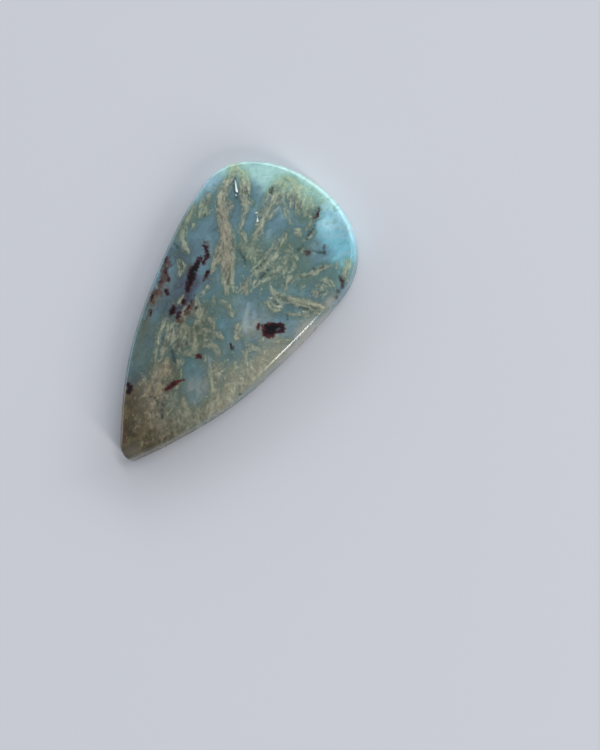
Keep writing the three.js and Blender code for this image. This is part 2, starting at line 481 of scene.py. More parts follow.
    stroke(Marking.RUST, (-5.3, 5.2, 0.14), (-5.2, 4.4, 0.08)),
    stroke(Marking.RUST, (-6.3, 3.2, 0.15), (-6.2, 2.4, 0.1)),
    stroke(Marking.RUST, (-9.2, 2.4, 0.26), (-9.0, 1.9, 0.36), (-8.9, 1.3, 0.4), (-8.6, 1.6, 0.3)),
    stroke(Marking.RUST, (-8.9, 1.1, 0.4), (-8.4, 0.5, 0.52), (-7.9, 0.1, 0.36)),
    stroke(Marking.RUST, (-8.3, 0.0, 0.42), (-8.1, -0.7, 0.44), (-8.0, -1.2, 0.34)),
    stroke(Marking.RUST, (-7.9, -1.6, 0.34), (-7.9, -2.2, 0.4), (-7.4, -1.8, 0.42)),
    stroke(Marking.RUST, (-7.7, -2.8, 0.3), (-7.4, -3.4, 0.2)),
    stroke(Marking.RUST, (-7.0, -4.2, 0.12), (-6.9, -5.1, 0.1), (-6.8, -6.0, 0.08)),
    stroke(Marking.RUST, (-3.5, 0.0, 0.12), (-3.3, -0.9, 0.2), (-3.3, -1.8, 0.2)),
    stroke(Marking.RUST, (-3.7, -2.6, 0.2), (-3.6, -3.2, 0.24), (-3.0, -3.1, 0.14)),
    stroke(Marking.RUST, (2.4, 17.2, 0.14), (2.45, 16.8, 0.08)),
    stroke(Marking.RUST, (5.4, 15.2, 0.08), (5.6, 15.0, 0.08)),
    stroke(Marking.RUST, (9.9, 13.1, 0.1), (10.3, 12.6, 0.12)),
    stroke(Marking.RUST, (10.3, 11.7, 0.14), (10.5, 10.9, 0.16)),
    stroke(Marking.RUST, (-4.0, 17.1, 0.06)),
    stroke(Marking.RUST, (-1.75, -5.8, 0.1)),
    stroke(Marking.RUST, (-1.6, -16.3, 0.12)),
    stroke(Marking.RUST, (-1.3, -17.2, 0.16), (-0.5, -18.4, 0.2), (0.3, -19.4, 0.16)),
    # Pale threads below the crown and a few pale places lower down
    stroke(Marking.PALE, (3.25, 15.9, 0.04), (3.4, 15.2, 0.1), (3.3, 14.5, 0.1), (2.9, 14.0, 0.04)),
    stroke(Marking.PALE, (2.3, 16.8, 0.06), (2.5, 16.1, 0.1), (2.6, 15.6, 0.04)),
    stroke(Marking.PALE, (3.5, 13.3, 0.02), (3.7, 12.9, 0.06), (4.0, 12.7, 0.02)),
    stroke(Marking.PALE, (-4.95, -0.4, 0.14), (-4.85, -1.3, 0.2)),
    stroke(Marking.PALE, (-0.5, -3.7, 0.2), (0.1, -4.4, 0.36), (0.3, -5.1, 0.2)),
    # Milky wisps, and one painted gleam on the hematite oval
    stroke(
        Marking.WISP_AND_GLEAM,
        (2.2, 3.8, 0.1),
        (2.6, 2.9, 0.2),
        (3.0, 2.0, 0.3),
        (3.4, 1.3, 0.3),
        (3.8, 0.9, 0.15),
    ),
    stroke(Marking.WISP_AND_GLEAM, (3.2, 1.8, 0.12), (3.5, 1.3, 0.14)),
    stroke(Marking.WISP_AND_GLEAM, (3.5, 3.4, 0.1), (3.8, 2.8, 0.12)),
    stroke(Marking.WISP_AND_GLEAM, (2.2, -4.5, 0.06), (2.7, -4.9, 0.08), (3.2, -5.4, 0.06)),
    stroke(Marking.WISP_AND_GLEAM, (3.8, 17.2, 0.1), (5.6, 18.2, 0.16), (7.2, 18.8, 0.1)),
    stroke(Marking.WISP_AND_GLEAM, (4.6, 16.2, 0.06), (6.2, 17.2, 0.1), (7.4, 17.8, 0.05)),
    stroke(Marking.WISP_AND_GLEAM, (3.3, 16.9, 0.04), (4.1, 17.9, 0.12), (4.7, 18.8, 0.05)),
    stroke(Marking.WISP_AND_GLEAM, (5.5, 16.4, 0.03), (6.4, 17.7, 0.08), (6.9, 18.6, 0.03)),
    stroke(Marking.WISP_AND_GLEAM, (7.6, 15.3, 0.03), (8.3, 16.3, 0.08), (8.7, 17.1, 0.03)),
    stroke(Marking.WISP_AND_GLEAM, (4.8, 13.65, 0.05), (5.1, 13.75, 0.06)),
    stroke(Marking.WISP_AND_GLEAM, (-2.0, 15.7, 0.05), (-2.0, 15.0, 0.06)),
    stroke(Marking.WISP_AND_GLEAM, (-5.6, 2.9, -0.08), (-4.7, 3.2, -0.08)),
    stroke(Marking.WISP_AND_GLEAM, (-8.4, -1.4, 0.06), (-8.2, -1.5, 0.08)),
    # Painted highlight: a grey gleam on the hematite oval, painted as a thin wisp
    stroke(Marking.WISP_AND_GLEAM, (7.15, 3.6, -0.08), (6.95, 3.2, -0.06)),
    # Painted glints: highlights of light on two small pits, painted as near-white colour
    stroke(Marking.GLINT, (-8.4, 15.25, 0.04), (-7.9, 14.7, 0.09), (-7.4, 14.25, 0.13)),
    stroke(Marking.GLINT, (-7.3, 13.85, 0.03), (-7.1, 13.75, 0.05)),
    stroke(Marking.GLINT, (-3.95, 13.35, 0.02), (-3.75, 13.55, 0.06)),
    stroke(Marking.GLINT, (-3.6, 13.35, 0.01), (-3.3, 13.05, 0.04), (-3.05, 12.75, 0.09)),
)

PATCHES = (
    # Sky blue at the upper right
    Patch(Ground.SKY, 8.0, 16.2, 2.2, 3.0, turn=45.0),
    Patch(Ground.SKY, 5.6, 16.6, 2.6, 2.0, turn=20.0, strength=0.8),
    Patch(Ground.SKY, 3.4, 18.6, 1.6, 1.6, strength=0.7),
    Patch(Ground.SKY, 4.3, 14.5, 1.5, 1.3, strength=-0.8),
    Patch(Ground.SKY, 1.0, -0.3, 1.3, 0.9, strength=0.3),
    # Paler ice blue along the crown's right: partly the stone's own blue, partly a painted reflection, the
    # window's pale wash near the edge
    Patch(Ground.ICE_AND_REFLECTION, 4.2, 17.7, 1.6, 1.4, turn=-30.0, strength=0.8),
    Patch(Ground.ICE_AND_REFLECTION, 3.6, 20.0, 4.0, 1.2, turn=-14.0),
    Patch(Ground.ICE_AND_REFLECTION, 7.6, 18.7, 2.4, 0.8, turn=-40.0, strength=0.45),
    Patch(Ground.ICE_AND_REFLECTION, 8.6, 15.2, 1.6, 1.0, turn=20.0, strength=0.35),
    # Mint green round the crown and on the upper left edge
    Patch(Ground.MINT, -6.4, 18.0, 1.7, 4.4, turn=-60.0),
    Patch(Ground.MINT, -4.9, 17.4, 1.0, 1.6, strength=0.7),
    Patch(Ground.MINT, -0.5, 20.4, 5.0, 1.7),
    Patch(Ground.MINT, 0.4, 18.8, 2.2, 1.6, strength=0.5),
    Patch(Ground.MINT, -3.0, 18.4, 1.6, 1.4, strength=0.5),
    Patch(Ground.MINT, -10.6, 15.4, 1.0, 1.6, turn=-20.0, strength=0.5),
    Patch(Ground.MINT, -9.3, 16.9, 1.6, 0.9, turn=35.0, strength=0.6),
    Patch(Ground.MINT, 9.3, 15.0, 0.8, 1.1, strength=0.6),
    # Pale blue on the left edge and in a few places on the face
    Patch(Ground.PALE_BLUE, -10.6, 13.6, 1.2, 2.8, turn=-6.0, strength=0.95),
    Patch(Ground.PALE_BLUE, -10.9, 10.6, 0.8, 2.0, strength=0.5),
    Patch(Ground.PALE_BLUE, 3.3, 2.4, 0.8, 2.0, turn=28.0, strength=0.3),
    Patch(Ground.PALE_BLUE, -0.7, 15.4, 1.2, 1.4, strength=0.35),
    # Slate, most of it down the left
    Patch(Ground.SLATE, -8.3, 3.4, 2.2, 1.3, strength=0.9),
    Patch(Ground.SLATE, -6.6, 0.6, 1.2, 3.0, strength=0.6),
    Patch(Ground.SLATE, -5.8, -2.6, 1.8, 2.6, strength=0.9),
    Patch(Ground.SLATE, -7.0, 13.6, 1.6, 1.4, strength=0.5),
    Patch(Ground.SLATE, -3.4, -12.2, 1.6, 1.8, strength=0.8),
    Patch(Ground.SLATE, -7.2, 5.4, 1.4, 1.2, strength=0.5),
    Patch(Ground.SLATE, -8.2, 7.6, 1.6, 1.8, strength=0.25),
    Patch(Ground.SLATE, -5.8, 12.0, 1.2, 1.8, strength=0.35),
    Patch(Ground.SLATE, -5.0, -7.3, 1.3, 0.9, turn=-20.0, strength=0.45),
    Patch(Ground.SLATE, 5.6, 1.4, 1.4, 1.2, strength=0.4),
    Patch(Ground.SLATE, -3.5, 3.4, 1.1, 1.6, turn=10.0, strength=0.6),
    # Violet, most of it round the black vein
    Patch(Ground.VIOLET, -4.7, 2.0, 0.9, 2.2, turn=12.0, strength=0.6),
    Patch(Ground.VIOLET, -4.3, -0.9, 1.0, 2.8, turn=4.0, strength=0.9),
    Patch(Ground.VIOLET, -5.9, 1.2, 0.9, 2.4, turn=12.0, strength=0.6),
    Patch(Ground.VIOLET, -6.6, 9.0, 1.4, 0.9, turn=40.0, strength=0.35),
    Patch(Ground.VIOLET, 1.5, -0.8, 0.9, 0.9, strength=0.3),
    # Teal in the clear pools
    Patch(Ground.TEAL, 1.4, -6.9, 2.4, 1.6),
    Patch(Ground.TEAL, 0.8, 0.0, 2.0, 1.4, strength=0.5),
    Patch(Ground.TEAL, 3.8, -2.9, 1.6, 1.6, strength=0.7),
    Patch(Ground.TEAL, -4.4, -9.0, 1.8, 4.2, turn=22.0, strength=0.4),
    Patch(Ground.TEAL, -2.3, -2.4, 0.7, 1.0, strength=0.7),
    Patch(Ground.TEAL, 4.2, -9.6, 1.4, 1.6, strength=0.8),
    Patch(Ground.TEAL, -2.4, 2.6, 1.4, 1.6, strength=0.5),
    Patch(Ground.TEAL, -6.0, 14.6, 1.6, 1.6, strength=0.4),
    # Fern green behind the moss
    Patch(Ground.FERN, 2.6, 12.8, 2.6, 3.2, strength=0.75),
    Patch(Ground.FERN, 5.4, 10.8, 3.4, 2.0, strength=0.65),
    Patch(Ground.FERN, 1.6, 17.4, 1.8, 2.0, strength=0.8),
    Patch(Ground.FERN, -1.6, 9.0, 3.0, 2.2, strength=0.9),
    Patch(Ground.FERN, 2.2, 7.0, 2.4, 2.4, strength=0.4),
    Patch(Ground.FERN, -9.6, 9.8, 1.4, 2.6, strength=0.7),
    Patch(Ground.FERN, -10.2, 6.0, 1.0, 3.0, strength=0.6),
    Patch(Ground.FERN, 8.4, 12.9, 2.2, 1.2, turn=20.0, strength=0.55),
    Patch(Ground.FERN, -0.6, 3.4, 1.6, 1.4, strength=0.45),
    Patch(Ground.FERN, -0.4, 1.2, 2.4, 2.4, strength=0.5),
    Patch(Ground.FERN, -6.6, -6.0, 1.0, 3.6, turn=16.0, strength=0.7),
    Patch(Ground.FERN, -4.2, -10.0, 1.6, 2.6, turn=22.0, strength=0.5),
    # Olive, most of it in the lower half
    Patch(Ground.OLIVE, -4.7, -8.6, 1.8, 4.2, turn=22.0, strength=0.6),
    Patch(Ground.OLIVE, -1.4, -3.0, 4.0, 5.0, strength=0.8),
    Patch(Ground.OLIVE, -2.9, 6.2, 1.5, 2.8, turn=36.0, strength=0.4),
    Patch(Ground.OLIVE, 5.8, -10.4, 2.2, 4.6, turn=-20.0, strength=0.85),
    Patch(Ground.OLIVE, -0.6, -10.0, 3.0, 3.4, strength=0.9),
    Patch(Ground.OLIVE, 3.6, -14.0, 3.6, 3.4),
    Patch(Ground.OLIVE, 4.4, -5.6, 3.6, 2.6, strength=0.5),
    Patch(Ground.OLIVE, 3.3, -11.2, 1.6, 1.2, turn=-30.0, strength=0.5),
    Patch(Ground.OLIVE, -5.9, -7.2, 0.8, 2.8, turn=22.0, strength=0.8),
    Patch(Ground.OLIVE, 7.4, 7.9, 2.6, 0.7, turn=20.0, strength=0.45),
    # Umber in the tip and on the lower left edge
    Patch(Ground.UMBER, 1.2, -18.2, 5.2, 4.0),
    Patch(Ground.UMBER, 2.2, -19.2, 1.4, 1.4, strength=-0.5),
    Patch(Ground.UMBER, -2.2, -15.4, 1.5, 3.0, turn=24.0, strength=0.9),
    Patch(Ground.UMBER, 4.2, -15.8, 1.2, 2.2, turn=-20.0, strength=0.6),
    Patch(Ground.UMBER, -7.8, -3.4, 1.0, 2.4, strength=0.6),
    # Tan, most of it along the long arm and towards the tip
    Patch(Ground.TAN, 6.2, -10.6, 1.2, 3.6, turn=-20.0, strength=0.35),
    Patch(Ground.TAN, -4.6, 6.2, 1.2, 2.2, turn=14.0, strength=0.4),
    Patch(Ground.TAN, -3.2, 6.6, 0.9, 2.4, turn=38.0, strength=0.55),
    Patch(Ground.TAN, -5.6, 9.3, 0.9, 3.0, turn=42.0, strength=0.8),
    Patch(Ground.TAN, -8.0, 12.0, 0.9, 2.0, turn=30.0, strength=0.4),
    Patch(Ground.TAN, -3.2, -1.6, 0.8, 2.0, strength=0.6),
    Patch(Ground.TAN, -1.2, -9.0, 1.4, 1.8, strength=0.6),
    Patch(Ground.TAN, -0.4, -13.6, 1.9, 3.4, turn=12.0),
    Patch(Ground.TAN, 9.2, 8.7, 1.4, 0.8, strength=0.4),
    Patch(Ground.TAN, -7.6, -1.6, 1.0, 2.6, turn=10.0, strength=0.6),
    Patch(Ground.TAN, 1.2, -18.4, 5.2, 4.6),
    Patch(Ground.TAN, -0.7, -14.8, 2.2, 3.4, turn=20.0),
    # Grey haze down the right side: near the right edge and on the flank it is painted sheen, a pale
    # reflection; further in it is milky haze in the stone
    Patch(Ground.HAZE_AND_SHEEN, 8.6, 0.4, 1.4, 3.6, turn=-9.0, strength=0.95),
    Patch(Ground.HAZE_AND_SHEEN, 8.0, -3.6, 1.4, 3.4, turn=-14.0, strength=0.7),
    Patch(Ground.HAZE_AND_SHEEN, 6.8, -8.4, 1.2, 3.6, turn=-20.0, strength=0.6),
    Patch(Ground.HAZE_AND_SHEEN, 10.0, 9.9, 0.8, 1.5, strength=0.8),
    Patch(Ground.HAZE_AND_SHEEN, 9.4, 6.0, 0.8, 2.4, turn=-8.0, strength=0.6),
    Patch(Ground.HAZE_AND_SHEEN, 3.3, -8.2, 1.4, 1.4, strength=0.3),
    Patch(Ground.HAZE_AND_SHEEN, 5.4, -5.6, 3.8, 5.6, turn=-16.0, strength=0.45),
    Patch(Ground.HAZE_AND_SHEEN, 3.4, -11.8, 2.2, 1.8, strength=0.4),
    Patch(Ground.HAZE_AND_SHEEN, 4.6, 2.4, 4.0, 2.8, strength=0.5),
    Patch(Ground.HAZE_AND_SHEEN, 10.5, 4.4, 1.0, 6.0, turn=-8.0, strength=0.95),
    # Where the moss grows, and the clear places left in it
    Patch(Ground.MOSS, 8.0, -2.6, 1.6, 4.4, turn=-12.0, strength=0.85),
    Patch(Ground.MOSS, -2.0, -3.0, 4.6, 5.4, strength=0.92),
    Patch(Ground.MOSS, 6.2, -9.4, 2.4, 5.0, turn=-20.0),
    Patch(Ground.MOSS, -0.8, -10.4, 3.6, 3.6),
    Patch(Ground.MOSS, 3.2, -14.6, 4.4, 3.6, strength=0.9),
    Patch(Ground.MOSS, 0.9, -17.0, 2.8, 2.8, strength=0.5),
    Patch(Ground.MOSS, 4.6, -5.0, 3.4, 2.2, strength=0.75),
    Patch(Ground.MOSS, -1.4, 9.2, 3.2, 2.0, strength=0.85),
    Patch(Ground.MOSS, 2.4, 8.6, 2.6, 3.6, strength=0.75),
    Patch(Ground.MOSS, 0.8, 8.4, 1.6, 2.4, strength=0.4),
    Patch(Ground.MOSS, 2.8, 12.2, 2.6, 2.4, strength=0.5),
    Patch(Ground.MOSS, 5.6, 9.8, 2.4, 1.6, strength=0.5),
    Patch(Ground.MOSS, 8.4, 11.0, 2.0, 2.0, strength=0.7),
    Patch(Ground.MOSS, 6.0, 0.0, 3.0, 2.4, strength=0.6),
    Patch(Ground.MOSS, -9.8, 9.0, 1.4, 4.6, strength=0.6),
    Patch(Ground.MOSS, 0.4, 17.8, 2.4, 2.4, strength=0.9),
    Patch(Ground.MOSS, 5.4, 5.6, 2.0, 1.6, strength=0.5),
    Patch(Ground.MOSS, 0.4, 5.0, 1.6, 2.0, strength=0.6),
    Patch(Ground.MOSS, 1.6, -6.9, 1.8, 1.3, strength=-0.9),
    Patch(Ground.MOSS, 3.6, -8.9, 1.7, 1.8, strength=-0.95),
    Patch(Ground.MOSS, -5.0, -8.6, 1.3, 3.4, turn=20.0, strength=-0.8),
    Patch(Ground.MOSS, 0.8, 0.0, 1.6, 1.0, strength=-0.6),
    Patch(Ground.MOSS, -4.8, 1.0, 1.3, 3.2, strength=-0.9),
    Patch(Ground.MOSS, -6.9, -2.0, 1.2, 3.0, strength=-0.5),
    Patch(Ground.MOSS, -2.3, -2.4, 0.6, 0.9, strength=-0.6),
    Patch(Ground.MOSS, -1.5, -7.2, 1.0, 0.6, turn=-20.0, strength=-0.6),
)


@dataclass(frozen=True)
class Wire:
    """A node's output, which can be used in sums with numbers and other outputs."""

    sheet: "NodeSheet"
    socket: bpy.types.NodeSocket

    def __add__(self, other: "Value") -> "Wire":
        """Returns this value plus another."""
        return self.sheet.math("ADD", self, other)

    def __radd__(self, other: float) -> "Wire":
        """Returns a number plus this value."""
        return self.sheet.math("ADD", other, self)

    def __sub__(self, other: "Value") -> "Wire":
        """Returns this value less another."""
        return self.sheet.math("SUBTRACT", self, other)

    def __rsub__(self, other: float) -> "Wire":
        """Returns a number less this value."""
        return self.sheet.math("SUBTRACT", other, self)

    def __mul__(self, other: "Value") -> "Wire":
        """Returns this value times another."""
        return self.sheet.math("MULTIPLY", self, other)

    def __rmul__(self, other: float) -> "Wire":
        """Returns a number times this value."""
        return self.sheet.math("MULTIPLY", other, self)


Value = Union[Wire, float]
Input = Union[Wire, float, Sequence[float]]


class NodeSheet:
    """The node tree of one material, filled by a call for each node."""

    def __init__(self, material: bpy.types.Material) -> None:
        """Empties the material's node tree.

        Args:
            material: the material that the nodes are for.
        """
        material.use_nodes = True
        self.tree = material.node_tree
        self.tree.nodes.clear()

    def node(
        self,
        kind: str,
        settings: Mapping[str, object],
        inputs: Mapping[Union[str, int], Input],
        output: Union[str, int] = 0,
    ) -> Wire:
        """Adds one node.

        Args:
            kind: the node's type.
            settings: its own settings, which are set first.
            inputs: the values or links of its sockets, by name or place.
            output: the socket to hand back, by name or place.

        Returns:
            The chosen output.
        """
        made = self.tree.nodes.new(kind)
        for name, value in settings.items():
            setattr(made, name, value)
        for key, value in inputs.items():
            if isinstance(value, Wire):
                self.tree.links.new(value.socket, made.inputs[key])
            else:
                made.inputs[key].default_value = value
        return Wire(self, made.outputs[output])

    def finish(self, shader: Wire) -> None:
        """Joins a shader to the material's output."""
        made = self.tree.nodes.new("ShaderNodeOutputMaterial")
        self.tree.links.new(shader.socket, made.inputs["Surface"])

    def math(self, operation: str, first: Value, second: Value = 0.0) -> Wire:
        """Returns a Math node's result on one or two values."""
        return self.node("ShaderNodeMath", {"operation": operation}, {0: first, 1: second})

    def attribute(self, name: str, output: str = "Fac") -> Wire:
        """Returns an attribute of the mesh."""
        return self.node("ShaderNodeAttribute", {"attribute_name": name}, {}, output)

    def step(self, value: Value, low: float, high: float) -> Wire:
        """Eases a value from 0 to 1.

        Args:
            value: the value to ease.
            low: where the result leaves one end. It may be more than high, which turns the step round.
            high: where the result reaches the other end.

        Returns:
            The eased value: 0 at low and 1 at high, or the other way round.
        """
        start, end = (0.0, 1.0) if low < high else (1.0, 0.0)
        return self.node(
            "ShaderNodeMapRange",
            {"interpolation_type": "SMOOTHSTEP"},
            {0: value, 1: min(low, high), 2: max(low, high), 3: start, 4: end},
        )

    def noise(self, place: Wire, scale: float, detail: float, twist: float = 0.0) -> Wire:
        """Returns a noise value about 0.5 at a place.

        Args:
            place: the vector to look up.
            scale: how many features there are to each unit of it.
            detail: how many finer layers are added.
            twist: how far the noise is bent by itself.

        Returns:
            The noise, between 0 and 1.
        """
        inputs = {"Vector": place, "Scale": scale, "Detail": detail, "Distortion": twist}
        return self.node("ShaderNodeTexNoise", {}, inputs, "Fac")

    def stretch(self, place: Wire, factors: Sequence[float]) -> Wire:
        """Returns a vector with each part multiplied by its own factor."""
        return self.node("ShaderNodeVectorMath", {"operation": "MULTIPLY"}, {0: place, 1: factors})

    def mix(self, factor: Value, first: Input, second: Input) -> Wire:
        """Returns the first colour turned into the second by a factor."""
        return self.node("ShaderNodeMix", {"data_type": "RGBA"}, {0: factor, 6: first, 7: second}, 2)

    def shade(self, colour: Wire, factor: Wire) -> Wire:
        """Returns a colour made lighter or darker by a factor about 1."""
        grey = self.node("ShaderNodeCombineXYZ", {}, {0: factor, 1: factor, 2: factor})
        return self.node("ShaderNodeVectorMath", {"operation": "MULTIPLY"}, {0: colour, 1: grey})


@dataclass(frozen=True)
class PolishedLarimar:
    """The stone's finish: a clouded blue ground, mossy khaki plumes, rust and hematite under a polish, with
    painted glints, a painted gleam, painted sheen and some painted reflection in the colour.
    """

    blue: Colour = srgb(92, 122, 134)
    blue_light: Colour = srgb(112, 140, 146)
    blue_deep: Colour = srgb(82, 108, 116)
    mint: Colour = srgb(155, 194, 190)
    pale_blue: Colour = srgb(134, 168, 181)
    sky: Colour = srgb(110, 168, 184)
    # Partly a painted reflection along the crown's right
    ice_and_reflection: Colour = srgb(150, 198, 211)
    slate: Colour = srgb(74, 90, 98)
    violet: Colour = srgb(62, 64, 82)
    teal: Colour = srgb(80, 110, 116)
    fern: Colour = srgb(90, 113, 108)
    olive: Colour = srgb(84, 92, 80)
    umber: Colour = srgb(70, 63, 48)
    umber_light: Colour = srgb(100, 90, 68)
    tan: Colour = srgb(106, 98, 88)
    # Milky haze, and the painted sheen down the right side
    haze_and_sheen: Colour = srgb(149, 149, 140)
    halo: tuple[float, float, float] = (0.68, 0.72, 0.6)
    flesh: Colour = srgb(129, 134, 118)
    flesh_dark: Colour = srgb(94, 102, 90)
    flesh_light: Colour = srgb(144, 149, 130)
    flesh_fern: Colour = srgb(108, 122, 106)
    flesh_green: Colour = srgb(156, 178, 150)
    flesh_olive: Colour = srgb(99, 101, 84)
    flesh_tan: Colour = srgb(128, 116, 102)
    # Plumes under the painted sheen and the haze
    flesh_haze_and_sheen: Colour = srgb(154, 151, 131)
    pale: Colour = srgb(154, 160, 134)
    ochre: Colour = srgb(134, 124, 98)
    rust: Colour = srgb(70, 46, 38)
    hematite: Colour = srgb(2, 0, 2)
    maroon: Colour = srgb(50, 18, 25)
    red: Colour = srgb(66, 8, 13)
    seam: Colour = srgb(44, 58, 55)
    # Colour of the milky wisps, and of the painted gleam on the hematite oval
    wisp_and_gleam: Colour = srgb(158, 178, 186)
    # Painted highlight colour of the glints
    glint: Colour = srgb(226, 234, 232)
    halo_share: float = 0.9
    flesh_share: float = 0.92
    flesh_contrast: float = 0.85
    ground_contrast: float = 0.3
    deep_share: float = 0.8
    tint_share: float = 0.6
    fade_breakup: float = 2.4
    seam_share: float = 0.85
    rust_share: float = 0.85
    red_share: float = 0.95
    maroon_share: float = 0.95
    wisp_and_gleam_share: float = 0.4
    ragged_scale: float = 1.4
    fine_scale: float = 3.0
    cloud_scale: float = 0.42
    wear_scale: float = 3.0
    refraction: float = 1.44
    polish: float = 0.13
    body_roughness: float = 0.5
    wear_roughness: float = 0.2
    body_specular: float = 0.06
    relief_strength: float = 0.5
    relief_height: float = 0.08 * MM
    subsurface: float = 0.08
    scatter: tuple[float, float, float] = (0.6, 0.85, 0.95)
    scatter_scale: float = 0.6 * MM

    def material(self) -> bpy.types.Material:
        """Builds the finish.

        Returns:
            The material.
        """
        made = bpy.data.materials.new("polished_larimar")
        sheet = NodeSheet(made)
        place = sheet.node(
            "ShaderNodeVectorMath",
            {"operation": "SCALE"},
            {0: sheet.node("ShaderNodeTexCoord", {}, {}, "Object"), "Scale": 1 / MM},
        )
        through = sheet.stretch(place, (1.0, 1.0, 0.5))
        ragged = sheet.noise(through, self.ragged_scale, 2.0, 0.5) - 0.5
        fine = sheet.noise(through, self.fine_scale, 1.5) - 0.5
        cloud = sheet.noise(through, self.cloud_scale, 5.0, 0.5) - 0.5
        colour = self.ground(sheet, through, cloud, fine)
        colour, depth = self.moss(sheet, through, colour, cloud, ragged, fine)
        colour, hard = self.inclusions(sheet, colour, ragged, fine)
        self.surface(sheet, through, colour, depth, hard)
        return made

    def ground(self, sheet: NodeSheet, through: Wire, cloud: Wire, fine: Wire) -> Wire:
        """Mixes the ground colours.

        Args:
            sheet: the material's nodes.
            through: the place in the stone, in millimetres.
            cloud: broad noise about 0.
            fine: fine noise about 0.

        Returns:
            The ground colour.
        """
        drift = sheet.noise(sheet.stretch(through, (1.0, 0.5, 1.0)), 1.0, 4.0, 0.8) - 0.5
        colour = sheet.mix(sheet.step(cloud, -0.02, 0.2), self.blue, self.blue_light)
        colour = sheet.mix(sheet.step(drift, -0.02, 0.2) * self.deep_share, colour, self.blue_deep)
        umber = sheet.mix(sheet.step(drift, -0.12, 0.15), self.umber, self.umber_light)
        for kind, layer in (
            (Ground.FERN, self.fern),
            (Ground.OLIVE, self.olive),
            (Ground.TEAL, self.teal),
            (Ground.SLATE, self.slate),
            (Ground.VIOLET, self.violet),
            (Ground.TAN, self.tan),
            # Painted sheen down the right side, and milky haze
            (Ground.HAZE_AND_SHEEN, self.haze_and_sheen),
            (Ground.UMBER, umber),
            (Ground.SKY, self.sky),
            # Partly a painted reflection along the crown's right
            (Ground.ICE_AND_REFLECTION, self.ice_and_reflection),
            (Ground.PALE_BLUE, self.pale_blue),
            (Ground.MINT, self.mint),
        ):
            colour = sheet.mix(self.soft(sheet, kind, cloud + drift), colour, layer)
        return sheet.shade(colour, 1.0 + fine * self.ground_contrast + drift * self.ground_contrast)

    def soft(self, sheet: NodeSheet, kind: Ground, noise: Wire) -> Wire:
        """Returns how much of a ground colour shows, its fading edges clouded by noise."""
        share = sheet.attribute(kind.value)
        return sheet.step(share + share * (1 - share) * noise * self.fade_breakup, 0.0, 1.0)

    def moss(
        self, sheet: NodeSheet, through: Wire, colour: Wire, cloud: Wire, ragged: Wire, fine: Wire
    ) -> tuple[Wire, Wire]:
        """Grows the khaki plumes and the moss between them on the ground.

        Args:
            sheet: the material's nodes.
            through: the place in the stone, in millimetres.
            colour: the colour so far.
            cloud: broad noise about 0.
            ragged: coarse noise about 0.
            fine: fine noise about 0.

        Returns:
            The colour with the plumes, and how deep each place lies inside them, in millimetres.
        """
        grain = sheet.attribute("grain", "Vector")
        streak = sheet.noise(sheet.stretch(grain, (0.7, 2.2, 1.0)), 1.0, 1.5, 0.7) - 0.5
        lumps = sheet.noise(sheet.stretch(through, (1.3, 0.9, 1.0)), 1.15, 1.5, 0.7) - 0.5
        worms = 0.07 - sheet.math("ABSOLUTE", sheet.noise(through, 0.8, 1.0, 0.8) - 0.5)
        growth = sheet.attribute(Ground.MOSS.value)
        net = sheet.math("MAXIMUM", worms * 2.2, lumps * 2.4) + (growth - 0.8) + fine * 0.2
        plume = ragged * 0.75 + streak * 0.6 + fine * 0.3 + 0.04 - sheet.attribute(Marking.PLUME.value)
        depth = sheet.node("ShaderNodeMath", {"operation": "SMOOTH_MAX"}, {0: plume, 1: net, 2: 0.25})
        inside = sheet.step(depth, -0.3, 0.34)
        relief = streak * 1.2 + lumps * 0.7 + fine * 0.5
        flesh = sheet.mix(sheet.step(relief, -0.24, 0.02), self.flesh_dark, self.flesh)
        flesh = sheet.mix(sheet.step(relief, 0.02, 0.3), flesh, self.flesh_light)
        for kind, share, tint in (
            (Ground.FERN, 0.75, self.flesh_fern),
            (Ground.MINT, 0.8, self.flesh_green),
            (Ground.OLIVE, 0.75, self.flesh_olive),
            (Ground.TAN, 0.6, self.flesh_tan),
            # The plumes lighten under the painted sheen too
            (Ground.HAZE_AND_SHEEN, 0.8, self.flesh_haze_and_sheen),
            (Ground.UMBER, 0.8, self.umber_light),
        ):
            flesh = sheet.mix(self.soft(sheet, kind, cloud) * share, flesh, tint)
        ochre = self.cover(sheet, Marking.OCHRE, ragged * 0.8 + fine * 0.3, 0.3)
        flesh = sheet.mix(ochre * self.tint_share, flesh, self.ochre)
        pale = self.cover(sheet, Marking.PALE, ragged * 0.5 + fine * 0.3, 0.25)
        flesh = sheet.mix(pale * self.tint_share, flesh, self.pale)
        flesh = sheet.shade(flesh, 1.0 + relief * self.flesh_contrast)
        shadow = sheet.step(depth, -0.75, -0.1) * self.halo_share
        colour = sheet.mix(shadow, colour, sheet.stretch(colour, self.halo))
        return sheet.mix(inside * self.flesh_share, colour, flesh), depth

    def cover(self, sheet: NodeSheet, kind: Marking, breakup: Wire, edge: float) -> Wire:
        """Finds where a marking covers the ground.

        Args:
            sheet: the material's nodes.
            kind: the marking.
            breakup: how far its edge is moved, in millimetres.
            edge: how soft its edge is, in millimetres.

        Returns:
            1 inside the marking and 0 outside.
        """
        return sheet.step(sheet.attribute(kind.value) + breakup, edge, -edge)

    def inclusions(self, sheet: NodeSheet, colour: Wire, ragged: Wire, fine: Wire) -> tuple[Wire, Wire]:
        """Lays the seams, wisps, rust and hematite over the plumes, with a painted gleam on the hematite and
        the painted glints of two small pits.

        Args:
            sheet: the material's nodes.
            colour: the colour so far.
            ragged: coarse noise about 0.
            fine: fine noise about 0.

        Returns:
            The finished colour, and where the hematite is.
        """
        breakup = ragged * 0.45 + fine * 0.45
        seam = self.cover(sheet, Marking.SEAM, breakup, 0.2)
        colour = sheet.mix(seam * self.seam_share, colour, self.seam)
